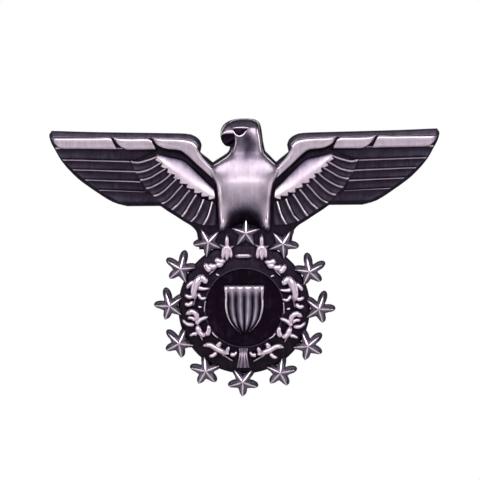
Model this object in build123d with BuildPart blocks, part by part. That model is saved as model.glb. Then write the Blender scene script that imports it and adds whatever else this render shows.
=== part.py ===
"""Cap badge: a spread eagle over an oak wreath ringed with stars.

It is pinned through the cap by two posts, each held by a butterfly clutch. Millimetres.
The badge stands as it is worn: +Z up, +X to the viewer's right, its front towards -Y.
The origin is on the flat back, on the eagle's centre line, level with its shoulders."""

import os

from build123d import *

# Back plate
wingspan = 65.0  # tip to tip, over the plate
plate_t = 1.2
rim = 0.7  # plate left bare round the eagle
star_rim = 0.3  # and round each star

# Eagle, as heights in front of the plate
wing_h = 0.6
covert_h = 1.3
arm_h = 1.8
breast_h = 3.0
breast_taper = 14  # degrees its sides lean in
head_h = 2.5
foot_h = 1.2
groove_w = 0.3  # line between two feathers
groove_d = 0.3

# Eagle's outline, measured from the origin
wing_top = 4.8  # top edge of the wings
wing_drop = 6.1  # bottom edge of the long feathers
hand_x = 19.3  # inner end of the long feathers' sweep
elbow_x = 14.0  # where the short feathers turn down
shoulder_x = 7.8
notch_x, notch_z = 5.2, -0.4  # foot of the cut between neck and shoulder
body_x = 4.6  # half the width of the trunk
tail_z = -7.6  # lower edge of the trunk between the legs
leg_z = -10.4  # lower end of the feathered legs
arch_gap = 0.15  # feet stand this far outside the arch between the legs
hip_rise = 0.9  # the wing runs into the leg this far above the leg's end
foot_shift = 0.1  # feet stand this far inside the middle of the gap between two stars
toe_shift = 0.1  # and this far above the middle of the leaves
toe_l, toe_w = 1.8, 0.6
perch_w = 0.65  # bar the feet stand on
primary_count = 5  # long feathers of each wing
primary_pitch = 1.68
secondary_count = 10  # short feathers of each wing

# Wreath and stars
wreath_x = -0.2
top_star_z = -11.5  # the top star stands between the eagle's legs
wreath_lean = 1.5  # degrees clockwise, seen from the front
ring_r = 10.9  # plate under the wreath
neck_x, neck_h = 7.3, 8.0  # half the width, and the height, of the plate between wings and wreath
neck_sink = 3.0  # its middle is this far below the legs' ends
star_count = 12
star_ring_r = 12.19
star_reach = 2.25  # centre to the end of an arm
inner_share = 0.81  # of that reach, its two inner arms span along the ring's radius
star_arm_w = 1.0
star_h = 1.3
star_gap = 0.12  # clear round each star
field_r = 6.6
field_h = 0.3
field_rim_w, field_rim_h = 0.4, 0.2
leaf_gap = 0.15  # between leaves and field
leaf_h = 1.7
leaf_count = 4  # clusters on each branch
branch_from, branch_sweep = 122.0, 128.0  # degrees round the wreath, left branch
stem_w = 1.0
tie_top_w, tie_foot_w = 1.4, 2.2
tie_h = 1.5
shield_w, shield_drop, shield_top = 6.8, 4.4, 3.9
shield_h = 0.8
shield_edge_w = 0.55
shield_sink = 0.25

# Posts
post_x, post_z = 13.0, -1.2
post_r = 0.6
post_l = 10.0
post_tip_l = 0.9
post_tip_r = 0.15
neck_cut, neck_l = 0.2, 0.6  # depth and length of the waist in the post, just in front of the clutch
foot_disc_r = 2.2
foot_disc_t = 0.5

# Butterfly clutches
cloth_gap = 4.6  # cap cloth and lining between the plate and the clutch
cup_r = 5.65
cup_h = 1.7
sheet_t = 0.4
bore_gap = 0.06  # round the post
collar_h = 0.75
spring_t = 0.3
spring_gap = 0.15  # round and under the spring, inside the cup
spring_hole_r = 1.6
wing_sheet_t = 0.3
wing_w = 5.0
jaw_z = 1.25  # jaw above the cup's seat
hinge_z = 2.6
hinge_x = 2.2
knuckle_r = 0.42
pivot_r = 0.2
pivot_l = 0.5
pivot_gap = 0.06
ear_t = 0.35
tab_z = 5.1
tab_reach = 2.1
tab_bend = 0.6
jaw_gap = 0.12  # each jaw stops this far from the post's centre plane
jaw_cut = 0.5  # the jaw's notch starts this far in front of it

half = wingspan / 2 - rim
hip_z = leg_z + hip_rise
wreath_z = top_star_z - star_ring_r
# The leaves fill the ring between the field and the stars' inner arms
leaf_in_r = field_r + leaf_gap
leaf_out_r = star_ring_r - star_reach * inner_share - star_gap
leaf_r = (leaf_in_r + leaf_out_r) / 2
leaf_w = leaf_out_r - leaf_in_r
foot_x = star_ring_r / 4 - foot_shift
toe_z = wreath_z + leaf_r + toe_shift
ear_x = wing_w / 2 + pivot_gap + ear_t / 2
ear_foot = 0.6  # half the width of an ear where it leaves the spring
lip_r = Vector(ear_x + ear_t / 2, hinge_x + ear_foot).length + spring_gap
os.makedirs("parts", exist_ok=True)


def front(height=0.0):
    """A plane facing forwards, so far in front of the flat back."""
    return Plane.XZ.offset(height)


def wreath_plane(height=0.0):
    """The same about the wreath's centre, leaning as the wreath leans."""
    across = Vector(1, 0, 0).rotate(Axis.Y, wreath_lean)
    return Plane(origin=(wreath_x, -height, wreath_z), x_dir=across, z_dir=(0, -1, 0))


def save(piece, name):
    piece.part.label = name
    export_step(piece.part, f"parts/{name}.step")


def wing_face():
    """The left wing, from the centre line out to its tip."""
    shoulder = (-shoulder_x - 1.7, wing_top - 0.5)
    corner = (-half + 0.6, wing_top)
    tip = (-half, wing_top - 0.8)
    sweep_mid = (-(hand_x + 0.57 * (half - hand_x)), -wing_drop + 3.8)
    hand = (-hand_x, -wing_drop)
    with BuildLine() as edge:
        Polyline((0, notch_z), (-notch_x, notch_z), (-shoulder_x, 2.3), shoulder, corner, tip)
        ThreePointArc(tip, sweep_mid, hand)
        Polyline(hand, (-elbow_x, -wing_drop), (-8.2, hip_z), (-body_x, hip_z))
        Polyline((-body_x, hip_z), (-3.2, tail_z), (0, tail_z), (0, notch_z))
    return make_face(edge.edges())


def head_face():
    """Head, hooked beak to the left, and the neck down to the shoulders."""
    beak, brow, crown, nape = (-2.1, 3.8), (-2.8, 6.3), (0.7, 7.05), (2.3, 5.2)
    with BuildLine() as edge:
        ThreePointArc(beak, (-3.25, 4.9), brow)
        ThreePointArc(brow, (-1.2, 7.0), crown)
        ThreePointArc(crown, (1.8, 6.5), nape)
        Polyline(nape, (2.6, 3.0), (3.2, 1.6), (notch_x, notch_z), (-notch_x, notch_z), (-2.5, 2.2), beak)
    return make_face(edge.edges())


def breast_face():
    """Breast and trunk, ending in the two feathered legs."""
    inner = foot_x - arch_gap
    with BuildLine() as edge:
        Polyline((-inner, leg_z), (-body_x + 0.5, leg_z), (-body_x, -3.0), (-notch_x + 0.4, notch_z))
        Polyline((-notch_x + 0.4, notch_z), (-2.0, 2.4), (2.2, 2.4), (notch_x - 0.4, notch_z))
        Polyline((notch_x - 0.4, notch_z), (body_x, -3.0), (body_x - 0.5, leg_z), (inner, leg_z))
        ThreePointArc((inner, leg_z), (0, tail_z), (-inner, leg_z))
    return make_face(edge.edges())


def arm_face():
    """The raised leading edge of the left wing, running into the breast."""
    with BuildLine() as edge:
        Polyline((0, notch_z - 0.4), (-notch_x, notch_z - 0.4), (-shoulder_x - 0.2, 2.1))
        ThreePointArc((-shoulder_x - 0.2, 2.1), (-shoulder_x, 3.6), (-shoulder_x - 1.9, wing_top - 0.7))
        Polyline((-shoulder_x - 1.9, wing_top - 0.7), (-half + 0.5, wing_top - 0.3), (-half + 1.8, 2.5))
        Polyline((-half + 1.8, 2.5), (-10.8, 2.5), (-body_x, -3.2), (0, -3.2), (0, notch_z - 0.4))
    return make_face(edge.edges())


def covert_face():
    """The patch of small feathers under the arm."""
    with BuildLine() as edge:
        Polyline((-14.4, 1.0), (-14.4, 2.0), (-10.9, 1.0), (-body_x, -3.5), (-body_x, -5.8))
        ThreePointArc((-body_x, -5.8), (-10.5, -2.9), (-14.4, 1.0))
    return make_face(edge.edges())


def star_faces(count=star_count, start=90.0, grow=0.0):
    """Rounded five-armed stars round the wreath, each with one arm pointing out."""
    arm_w = star_arm_w + 2 * grow
    reach = star_reach + grow
    with PolarLocations(star_ring_r, count, start_angle=start):
        with PolarLocations(reach / 2, 5):
            SlotOverall(reach, arm_w)
        Circle(0.7 * arm_w)


def shield_face(inset=0.0):
    """A plain heater shield."""
    side = shield_w / 2 - inset
    top = shield_top - inset
    foot = -shield_drop + 1.3 * inset
    with BuildLine() as edge:
        Polyline((-side, 0), (-side, top), (side, top), (side, 0))
        ThreePointArc((side, 0), (0.62 * side, 0.62 * foot), (0, foot))
        ThreePointArc((0, foot), (-0.62 * side, 0.62 * foot), (-side, 0))
    return make_face(edge.edges())


with BuildPart() as back_plate:
    with BuildSketch(front()):
        offset(wing_face(), amount=rim, mode=Mode.ADD)
        mirror(about=Plane.YZ)
        offset(head_face(), amount=rim, mode=Mode.ADD)
        with Locations(Location((wreath_x, wreath_z, 0), (0, 0, -wreath_lean))):
            Circle(ring_r)
            with Locations((0, leg_z - wreath_z - neck_sink)):
                Rectangle(2 * neck_x, neck_h)
            star_faces(grow=star_rim)
    extrude(amount=plate_t)
    with BuildSketch(front()):
        with Locations((-post_x, post_z), (post_x, post_z)):
            Circle(foot_disc_r)
    extrude(amount=foot_disc_t, mode=Mode.SUBTRACT)
save(back_plate, "back_plate")

# Curves that the short feathers' roots and ends lie on, left wing
feather_ends = ThreePointArc((-18.9, 1.2), (-14.5, -5.8), (-6.6, -10.0))
feather_roots = ThreePointArc((-14.8, 1.6), (-10.9, -2.9), (-5.3, -6.8))

with BuildPart() as eagle:
    with BuildSketch(front(plate_t)):
        wing_face()
    extrude(amount=wing_h)
    with BuildSketch(front(plate_t + wing_h)):
        with Locations((-(half + hand_x) / 2, wing_top - 4.1 - primary_pitch * (primary_count - 2) / 2)):
            with GridLocations(0, primary_pitch, 1, primary_count - 1):
                Rectangle(half - hand_x, groove_w)
        with BuildLine():
            for k in range(1, secondary_count):
                share = k / secondary_count
                Line(feather_roots @ share, feather_ends @ share)
        trace(line_width=groove_w)
    extrude(amount=-groove_d, mode=Mode.SUBTRACT)
    with BuildSketch(front(plate_t)):
        covert_face()
    extrude(amount=covert_h)
    with BuildSketch(front(plate_t)):
        arm_face()
    extrude(amount=arm_h)
    mirror(about=Plane.YZ)
    with BuildSketch(front(plate_t)):
        head_face()
    extrude(amount=head_h)
    with BuildSketch(front(plate_t)):
        breast_face()
    extrude(amount=breast_h, taper=breast_taper)
    with BuildSketch(front(plate_t)):
        for side in (-1, 1):
            with BuildLine():
                Line((side * foot_x, leg_z + toe_w), (side * foot_x, toe_z + toe_l))
                for toe in (-0.5, 0.0, 0.4):
                    Line((side * foot_x, toe_z + toe_l), (side * (foot_x + toe), toe_z))
            trace(line_width=toe_w)
        with Locations((0, toe_z)):
            Rectangle(2 * foot_x, perch_w)
    extrude(amount=foot_h)
    with BuildSketch(wreath_plane(plate_t)):
        star_faces(grow=star_gap)
    extrude(amount=2 * breast_h, mode=Mode.SUBTRACT)
save(eagle, "eagle")


def branch_faces(start, sweep):
    """One oak branch: a curved stem with clusters of lobed leaves."""
    with BuildLine() as stem:
        CenterArc((0, 0), leaf_r, start, sweep)
    trace(stem.edges(), line_width=stem_w)
    step = sweep / leaf_count
    with PolarLocations(leaf_r, leaf_count, start_angle=start + step / 2, angular_range=step * leaf_count):
        Ellipse(0.4 * leaf_w, 0.62 * leaf_w)
        with GridLocations(0.46 * leaf_w, 0.62 * leaf_w, 2, 2):
            Circle(0.27 * leaf_w)


for name, start, sweep in (
    ("left_branch", branch_from, branch_sweep),
    ("right_branch", 180 - branch_from, -branch_sweep),
):
    with BuildPart() as branch:
        with BuildSketch(wreath_plane(plate_t)):
            branch_faces(start, sweep)
        extrude(amount=leaf_h)
    save(branch, name)

with BuildPart() as ribbon_tie:
    with BuildSketch(wreath_plane(plate_t)):
        with BuildLine():
            Polyline(
                (-tie_top_w / 2, -leaf_in_r),
                (tie_top_w / 2, -leaf_in_r),
                (tie_foot_w / 2, -leaf_out_r),
                (-tie_foot_w / 2, -leaf_out_r),
                close=True,
            )
        make_face()
    extrude(amount=tie_h)
save(ribbon_tie, "ribbon_tie")

with BuildPart() as field_disc:
    with BuildSketch(wreath_plane(plate_t)):
        Circle(field_r)
    extrude(amount=field_h)
    with BuildSketch(wreath_plane(plate_t + field_h)):
        Circle(field_r)
        Circle(field_r - field_rim_w, mode=Mode.SUBTRACT)
    extrude(amount=field_rim_h)
save(field_disc, "field_disc")

with BuildPart() as shield:
    with BuildSketch(wreath_plane(plate_t + field_h)):
        shield_face()
    extrude(amount=shield_h)
    with BuildSketch(wreath_plane(plate_t + field_h + shield_h)):
        shield_face(shield_edge_w)
    extrude(amount=-shield_sink, mode=Mode.SUBTRACT)
save(shield, "shield")

for number in range(star_count):
    with BuildPart() as star:
        with BuildSketch(wreath_plane(plate_t)):
            star_faces(1, 90 - number * 360 / star_count)
        extrude(amount=star_h)
    save(star, f"star_{number + 1:02d}")


def clutch_plane(x, height=0.0):
    """A plane across a post, so far behind the clutch's seat, facing back."""
    return Plane(origin=(x, cloth_gap + height, post_z), x_dir=(-1, 0, 0), z_dir=(0, 1, 0))


def side_plane(x, height=0.0, shift=0.0):
    """A plane through a post: local X runs back along the post, local Y runs up."""
    return Plane(origin=(x + shift, height, post_z), x_dir=(0, 1, 0), z_dir=(1, 0, 0))


def make_post(x, name):
    """A turned post: foot in its pocket in the plate, shank, waist and point."""
    waist, neck_r = cloth_gap - neck_l, post_r - neck_cut
    with BuildPart() as post:
        with BuildSketch(side_plane(x)):
            with BuildLine():
                Polyline((-foot_disc_t, 0), (-foot_disc_t, foot_disc_r), (0, foot_disc_r), (0, post_r))
                Polyline((0, post_r), (waist, post_r), (waist, neck_r), (cloth_gap, neck_r))
                Polyline((cloth_gap, neck_r), (cloth_gap, post_r), (post_l - post_tip_l, post_r))
                Polyline((post_l - post_tip_l, post_r), (post_l, post_tip_r), (post_l, 0))
                Line((post_l, 0), (-foot_disc_t, 0))
            make_face()
        revolve(axis=Axis((x, 0, post_z), (0, 1, 0)))
    save(post, name)


def make_cup(x, name):
    """The clutch's cup: floor with a guide collar, and a wall turned in at the top."""
    bore = post_r + bore_gap
    collar_r = bore + sheet_t
    wall_r = cup_r - sheet_t
    with BuildPart() as cup:
        with BuildSketch(side_plane(x, cloth_gap)):
            with BuildLine():
                Polyline((0, bore), (0, cup_r), (cup_h, cup_r), (cup_h, lip_r))
                Polyline((cup_h, lip_r), (cup_h - sheet_t, lip_r), (cup_h - sheet_t, wall_r))
                Polyline((cup_h - sheet_t, wall_r), (sheet_t, wall_r), (sheet_t, collar_r))
                Polyline((sheet_t, collar_r), (collar_h, collar_r), (collar_h, bore), (0, bore))
            make_face()
        revolve(axis=Axis((x, 0, post_z), (0, 1, 0)))
    save(cup, name)


def make_spring(x, name):
    """The spring's base: a flat ring under the cup's lip with two pairs of ears."""
    base = sheet_t + spring_gap
    with BuildPart() as spring:
        with BuildSketch(clutch_plane(x, base)):
            Circle(cup_r - sheet_t - spring_gap)
            Circle(spring_hole_r, mode=Mode.SUBTRACT)
        extrude(amount=spring_t)
        for side in (-1, 1):
            with BuildSketch(side_plane(x, cloth_gap, side * ear_x)):
                for up in (-1, 1):
                    with BuildLine():
                        Line((base, up * (hinge_x - ear_foot)), (base, up * (hinge_x + ear_foot)))
                        Line((base, up * (hinge_x + ear_foot)), (hinge_z, up * (hinge_x + knuckle_r)))
                        RadiusArc(
                            (hinge_z, up * (hinge_x + knuckle_r)),
                            (hinge_z, up * (hinge_x - knuckle_r)),
                            up * knuckle_r,
                        )
                        Line((hinge_z, up * (hinge_x - knuckle_r)), (base, up * (hinge_x - ear_foot)))
                    make_face()
            extrude(amount=ear_t / 2, both=True)
            with BuildSketch(side_plane(x, cloth_gap, side * (ear_x - ear_t / 2))):
                with Locations((hinge_z, -hinge_x), (hinge_z, hinge_x)):
                    Circle(pivot_r)
            extrude(amount=-side * pivot_l)
    save(spring, name)


def make_wing(x, up, name):
    """One finger wing: jaw at the post, knuckle, web and a tab bent outwards."""
    with BuildPart() as wing:
        with BuildSketch(side_plane(x, cloth_gap)):
            with BuildLine():
                FilletPolyline(
                    (jaw_z + wing_sheet_t / 2, up * jaw_gap),
                    (jaw_z + wing_sheet_t / 2, up * hinge_x),
                    (tab_z, up * hinge_x),
                    (tab_z, up * (hinge_x + tab_reach)),
                    radius=tab_bend,
                )
            trace(line_width=wing_sheet_t)
            with Locations((hinge_z, up * hinge_x)):
                Circle(knuckle_r)
        extrude(amount=wing_w / 2, both=True)
        with BuildSketch(clutch_plane(x, jaw_z - jaw_cut)):
            Circle(post_r + bore_gap)
        extrude(amount=2 * wing_sheet_t + jaw_cut, mode=Mode.SUBTRACT)
        for side in (-1, 1):
            with BuildSketch(side_plane(x, cloth_gap, side * wing_w / 2)):
                with Locations((hinge_z, up * hinge_x)):
                    Circle(pivot_r + pivot_gap)
            extrude(amount=-side * pivot_l, mode=Mode.SUBTRACT)
    save(wing, name)


for side, x in (("left", -post_x), ("right", post_x)):
    make_post(x, f"{side}_post")
    make_cup(x, f"{side}_clutch_cup")
    make_spring(x, f"{side}_clutch_spring")
    make_wing(x, 1, f"{side}_upper_clutch_wing")
    make_wing(x, -1, f"{side}_lower_clutch_wing")
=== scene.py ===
"""Antique silver cap badge: eagle, oak wreath and stars, modelled round its CAD frame."""

import math

import bpy
from mathutils import Matrix, Vector


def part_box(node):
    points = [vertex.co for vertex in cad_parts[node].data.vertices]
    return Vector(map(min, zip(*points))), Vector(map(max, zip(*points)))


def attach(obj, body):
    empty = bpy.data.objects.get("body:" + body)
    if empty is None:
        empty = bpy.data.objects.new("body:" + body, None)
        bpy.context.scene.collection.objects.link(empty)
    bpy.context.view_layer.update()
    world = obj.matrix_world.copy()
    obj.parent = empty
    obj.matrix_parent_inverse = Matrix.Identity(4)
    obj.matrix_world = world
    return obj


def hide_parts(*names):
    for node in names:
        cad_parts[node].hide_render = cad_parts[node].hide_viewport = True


bl_info = {
    "name": "Cap badge",
    "version": (1, 0, 0),
    "blender": (4, 5, 0),
    "location": "View3D > Sidebar > Badge",
    "description": "Builds an antique silver cap badge piece by piece",
    "category": "Add Mesh",
}

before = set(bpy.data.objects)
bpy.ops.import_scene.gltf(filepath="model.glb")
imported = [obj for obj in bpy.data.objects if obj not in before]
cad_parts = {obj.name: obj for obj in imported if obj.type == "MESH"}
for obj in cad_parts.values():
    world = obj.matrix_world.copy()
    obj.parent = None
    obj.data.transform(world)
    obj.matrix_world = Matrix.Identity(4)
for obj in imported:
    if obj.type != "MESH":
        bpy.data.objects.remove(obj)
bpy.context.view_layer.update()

MM = 0.001
PLATE_FRONT = -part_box("back_plate")[0][1] / MM  # mm the plate's front stands before its back
BODY = "badge"
SILVER_SLOT = "antique_silver"


def middle(node):
    """The middle of a CAD node's box, in mm."""
    low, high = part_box(node)
    return (Vector(low) + Vector(high)) / (2 * MM)


FIELD = middle("field_disc")
WREATH_X, WREATH_Z = FIELD.x, FIELD.z
TOP_STAR = middle("star_01")
LEAN = math.atan2(TOP_STAR.x - WREATH_X, TOP_STAR.z - WREATH_Z)


# ---------------------------------------------------------------- sizes and colours


class BADGE_PG_relief(bpy.types.PropertyGroup):
    """Heights and widths of the struck relief."""

    steps: bpy.props.IntProperty(
        name="Smoothness", description="Faces between two set points of a relief", default=4, min=1, max=8
    )
    ridge_width: bpy.props.FloatProperty(
        name="Ridge width", description="Width of a feather's polished ridge, mm", default=0.36, min=0.05
    )
    plate_round: bpy.props.FloatProperty(
        name="Plate edge", description="Radius rolled on the plate's edge, mm", default=0.42, min=0.05
    )
    star_reach: bpy.props.FloatProperty(
        name="Star reach", description="Centre to the end of a star's arm, mm", default=2.37, min=0.5
    )


class BADGE_PG_finish(bpy.types.PropertyGroup):
    """Colours of the metal."""

    silver: bpy.props.FloatVectorProperty(
        name="Silver", description="Polished high parts", subtype="COLOR", size=3,
        default=(0.84, 0.69, 0.81), min=0, max=1,
    )
    # the bluish half tone is painted sheen of the lit slopes, partly the oxide's own tint
    tint_and_sheen: bpy.props.FloatVectorProperty(
        name="Tint and sheen", description="Bluish half tone of the darkened slopes", subtype="COLOR", size=3,
        default=(0.095, 0.078, 0.118), min=0, max=1,
    )
    patina: bpy.props.FloatVectorProperty(
        name="Patina", description="Darkened recesses", subtype="COLOR", size=3,
        default=(0.009, 0.004, 0.010), min=0, max=1,
    )
    brass: bpy.props.FloatVectorProperty(
        name="Brass", description="Clutch cups and springs", subtype="COLOR", size=3,
        default=(0.72, 0.50, 0.20), min=0, max=1,
    )
    steel: bpy.props.FloatVectorProperty(
        name="Post steel", description="Nickel-plated posts", subtype="COLOR", size=3,
        default=(0.62, 0.60, 0.57), min=0, max=1,
    )


def relief_settings():
    return bpy.context.scene.badge_relief


def finish_settings():
    return bpy.context.scene.badge_finish


# ---------------------------------------------------------------- shaping helpers


def deselect():
    """Object mode with nothing selected."""
    if bpy.context.object and bpy.context.object.mode != "OBJECT":
        bpy.ops.object.mode_set(mode="OBJECT")
    bpy.ops.object.select_all(action="DESELECT")


def take(piece):
    """Makes one piece the only selected and the active one."""
    deselect()
    piece.select_set(True)
    bpy.context.view_layer.objects.active = piece


def smooth(points, steps):
    """Points on a smooth line through the given points of any dimension."""
    if len(points) < 3 or steps < 2:
        count = steps if len(points) < 3 else 1
        return [
            tuple(a + (b - a) * k / count for a, b in zip(p, q))
            for p, q in zip(points, points[1:])
            for k in range(count)
        ] + [tuple(points[-1])]
    line = []
    last = len(points) - 1
    for i in range(last):
        before, p, q, after = points[max(i - 1, 0)], points[i], points[i + 1], points[min(i + 2, last)]
        for k in range(steps):
            t = k / steps
            line.append(
                tuple(
                    b + 0.5 * t * (c - a + t * (2 * a - 5 * b + 4 * c - d + t * (3 * (b - c) + d - a)))
                    for a, b, c, d in zip(before, p, q, after)
                )
            )
    return line + [tuple(points[-1])]


def outward():
    """From edit mode: turns every face outward and goes back to object mode."""
    bpy.ops.mesh.select_all(action="SELECT")
    bpy.ops.mesh.normals_make_consistent(inside=False)
    bpy.ops.object.mode_set(mode="OBJECT")


def lay_relief(name, rows, base=-0.12, across=None, along=None):
    """A closed relief: a grid laid over rows of (x, z, height, polishing with painted light and shade),
    walled back to its base.
    """
    steps = relief_settings().steps
    lines = [smooth(row, across or steps) for row in rows]
    columns = [smooth(column, along or steps) for column in zip(*lines)]
    wide, deep = len(columns), len(columns[0])
    deselect()
    bpy.ops.mesh.primitive_grid_add(x_subdivisions=wide - 1, y_subdivisions=deep - 1, size=1)
    piece = bpy.context.object
    piece.name = name
    mesh = piece.data
    polish_and_shade = mesh.attributes.new("polish_and_shade", "FLOAT", "POINT")
    for k in range(deep):
        for i in range(wide):
            x, z, height, shine_and_shade = columns[i][k]
            mesh.vertices[k * wide + i].co = (x * MM, -(PLATE_FRONT + height) * MM, z * MM)
            polish_and_shade.data[k * wide + i].value = min(max(shine_and_shade, 0.0), 1.0)
    bpy.ops.object.mode_set(mode="EDIT")
    bpy.ops.mesh.select_all(action="SELECT")
    bpy.ops.mesh.extrude_region_move(TRANSFORM_OT_translate={"value": (0, MM, 0)})
    floor = -(PLATE_FRONT + base) * MM
    bpy.ops.transform.resize(value=(1, 0, 1), center_override=(0, floor, 0))
    outward()
    return piece


def copied(piece, name, change):
    """A copy with its own mesh, moved by a matrix."""
    take(piece)
    bpy.ops.object.duplicate()
    twin = bpy.context.object
    twin.name = name
    twin.data.transform(change)
    if change.determinant() < 0:
        bpy.ops.object.mode_set(mode="EDIT")
        outward()
    return twin


MIRROR = Matrix.Scale(-1, 4, (1, 0, 0))


def joined(pieces, name):
    """Several pieces as one object."""
    take(pieces[0])
    for piece in pieces:
        piece.select_set(True)
    if len(pieces) > 1:
        bpy.ops.object.join()
    whole = bpy.context.object
    whole.name = name
    whole.data.name = name
    return whole


def finished(piece, material, *nodes, slot=SILVER_SLOT, angle=38, body=BODY):
    """Smooths a piece, gives it its metal, hangs it from its body and hides the frame's parts it replaces."""
    take(piece)
    bpy.ops.object.shade_smooth_by_angle(angle=math.radians(angle))
    piece.data.materials.clear()
    piece.data.materials.append(material)
    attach(piece, body)
    if nodes:
        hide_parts(*nodes)
    return piece


def finish_both(left, name):
    """Finishes a left-hand piece and its mirror image."""
    for piece in (left, copied(left, f"right_{name}", MIRROR)):
        finished(piece, antique_silver())


def at_wreath(radius, degrees):
    """A point so far from the wreath's centre, at an angle counted from its leaning upright."""
    turn = math.radians(degrees) - LEAN
    return WREATH_X + radius * math.cos(turn), WREATH_Z + radius * math.sin(turn)


def wreath_place():
    """Moves a piece laid about the origin to the wreath's centre and leans it."""
    return Matrix.Translation((WREATH_X * MM, 0, WREATH_Z * MM)) @ Matrix.Rotation(LEAN, 4, "Y")


def between(p, q, share):
    return tuple(a + (b - a) * share for a, b in zip(p, q))


# ---------------------------------------------------------------- metals


def add_node(tree, kind, **settings):
    node = tree.nodes.new(kind)
    for key, value in settings.items():
        setattr(node, key, value)
    return node


def cast_grain_group():
    """Fine grain of cast and tumbled metal: a roughness shift, a mottling mask and a normal."""
    group = bpy.data.node_groups.new("cast grain", "ShaderNodeTree")
    for socket, kind, default in (
        ("Scale", "NodeSocketFloat", 1.0),
        ("Brush", "NodeSocketFloat", 0.5),
        ("Depth", "NodeSocketFloat", 0.1),
    ):
        group.interface.new_socket(socket, in_out="INPUT", socket_type=kind).default_value = default
    for socket, kind in (
        ("Mottle", "NodeSocketFloat"), ("Streak", "NodeSocketFloat"), ("Normal", "NodeSocketVector"),
    ):
        group.interface.new_socket(socket, in_out="OUTPUT", socket_type=kind)
    inputs = add_node(group, "NodeGroupInput")
    outputs = add_node(group, "NodeGroupOutput")
    place = add_node(group, "ShaderNodeTexCoord")
    scaled = add_node(group, "ShaderNodeVectorMath", operation="SCALE")
    stretch = add_node(group, "ShaderNodeMapping")
    stretch.inputs["Scale"].default_value = (2600, 2600, 170)
    mottle = add_node(group, "ShaderNodeTexNoise")
    mottle.inputs["Scale"].default_value = 900
    mottle.inputs["Detail"].default_value = 4
    streak = add_node(group, "ShaderNodeTexNoise")
    streak.inputs["Scale"].default_value = 1
    streak.inputs["Detail"].default_value = 2
    pits = add_node(group, "ShaderNodeTexNoise")
    pits.inputs["Scale"].default_value = 5200
    pits.inputs["Detail"].default_value = 2
    blend = add_node(group, "ShaderNodeMix", data_type="FLOAT")
    bump = add_node(group, "ShaderNodeBump")
    bump.inputs["Distance"].default_value = 0.00003
    link = group.links.new
    link(place.outputs["Object"], scaled.inputs[0])
    link(inputs.outputs["Scale"], scaled.inputs["Scale"])
    link(scaled.outputs[0], mottle.inputs["Vector"])
    link(scaled.outputs[0], pits.inputs["Vector"])
    link(scaled.outputs[0], stretch.inputs["Vector"])
    link(stretch.outputs[0], streak.inputs["Vector"])
    link(inputs.outputs["Brush"], blend.inputs["Factor"])
    link(pits.outputs["Fac"], blend.inputs[2])
    link(streak.outputs["Fac"], blend.inputs[3])
    link(blend.outputs[0], bump.inputs["Height"])
    link(inputs.outputs["Depth"], bump.inputs["Strength"])
    link(mottle.outputs["Fac"], outputs.inputs["Mottle"])
    link(streak.outputs["Fac"], outputs.inputs["Streak"])
    link(bump.outputs[0], outputs.inputs["Normal"])
    return group


def cast_grain():
    return bpy.data.node_groups.get("cast grain") or cast_grain_group()


def ramp(tree, source, low, high, reach):
    """Maps a value between two others onto low to high."""
    node = add_node(tree, "ShaderNodeMapRange")
    node.inputs["From Min"].default_value = low
    node.inputs["From Max"].default_value = high
    node.inputs["To Min"].default_value = reach[0]
    node.inputs["To Max"].default_value = reach[1]
    tree.links.new(source, node.inputs["Value"])
    return node.outputs[0]


def new_metal(name, grain=1.0, brush=0.5, depth=0.1):
    """A bare metal with its cast grain wired to the normal."""
    metal = bpy.data.materials.new(name)
    metal.use_nodes = True
    tree = metal.node_tree
    shader = tree.nodes["Principled BSDF"]
    shader.inputs["Metallic"].default_value = 1.0
    group = add_node(tree, "ShaderNodeGroup", node_tree=cast_grain())
    group.inputs["Scale"].default_value = grain
    group.inputs["Brush"].default_value = brush
    group.inputs["Depth"].default_value = depth
    tree.links.new(group.outputs["Normal"], shader.inputs["Normal"])
    return metal, tree, shader, group


def antique_silver():
    """Silver plate darkened in the recesses; how bright it is polished, with painted highlights and painted
    shade, is stored on the piece.
    """
    if "antique silver" in bpy.data.materials:
        return bpy.data.materials["antique silver"]
    metal, tree, shader, grain = new_metal("antique silver", brush=0.6, depth=0.12)
    link = tree.links.new
    # the stored value mixes real polishing with painted highlights and painted shade
    stored = add_node(tree, "ShaderNodeAttribute", attribute_name="polish_and_shade")
    uneven = add_node(tree, "ShaderNodeMath", operation="ADD")
    link(stored.outputs["Fac"], uneven.inputs[0])
    link(ramp(tree, grain.outputs["Mottle"], 0.3, 0.7, (-0.04, 0.04)), uneven.inputs[1])
    streaked = add_node(tree, "ShaderNodeMath", operation="ADD", use_clamp=True)
    link(uneven.outputs[0], streaked.inputs[0])
    link(ramp(tree, grain.outputs["Streak"], 0.3, 0.7, (-0.03, 0.03)), streaked.inputs[1])
    patina, tint_and_sheen, silver = finish_settings().patina, finish_settings().tint_and_sheen, finish_settings().silver
    # ramp from the patina through the bluish half tone of painted sheen, partly the oxide's tint, to the
    # silver
    tone = add_node(tree, "ShaderNodeValToRGB")
    stops = tone.color_ramp.elements
    stops[0].position, stops[0].color = 0.0, (*patina, 1)
    stops[1].position, stops[1].color = 1.0, (*silver, 1)
    for place, colour in (
        (0.2, between(patina, tint_and_sheen, 0.3)), (0.38, tint_and_sheen), (0.55, between(tint_and_sheen, silver, 0.17)),
        (0.78, between(tint_and_sheen, silver, 0.52)),
    ):
        stops.new(place).color = (*colour, 1)
    link(streaked.outputs[0], tone.inputs["Fac"])
    link(tone.outputs["Color"], shader.inputs["Base Color"])
    link(ramp(tree, streaked.outputs[0], 0.0, 1.0, (0.42, 0.30)), shader.inputs["Roughness"])
    return metal


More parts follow.
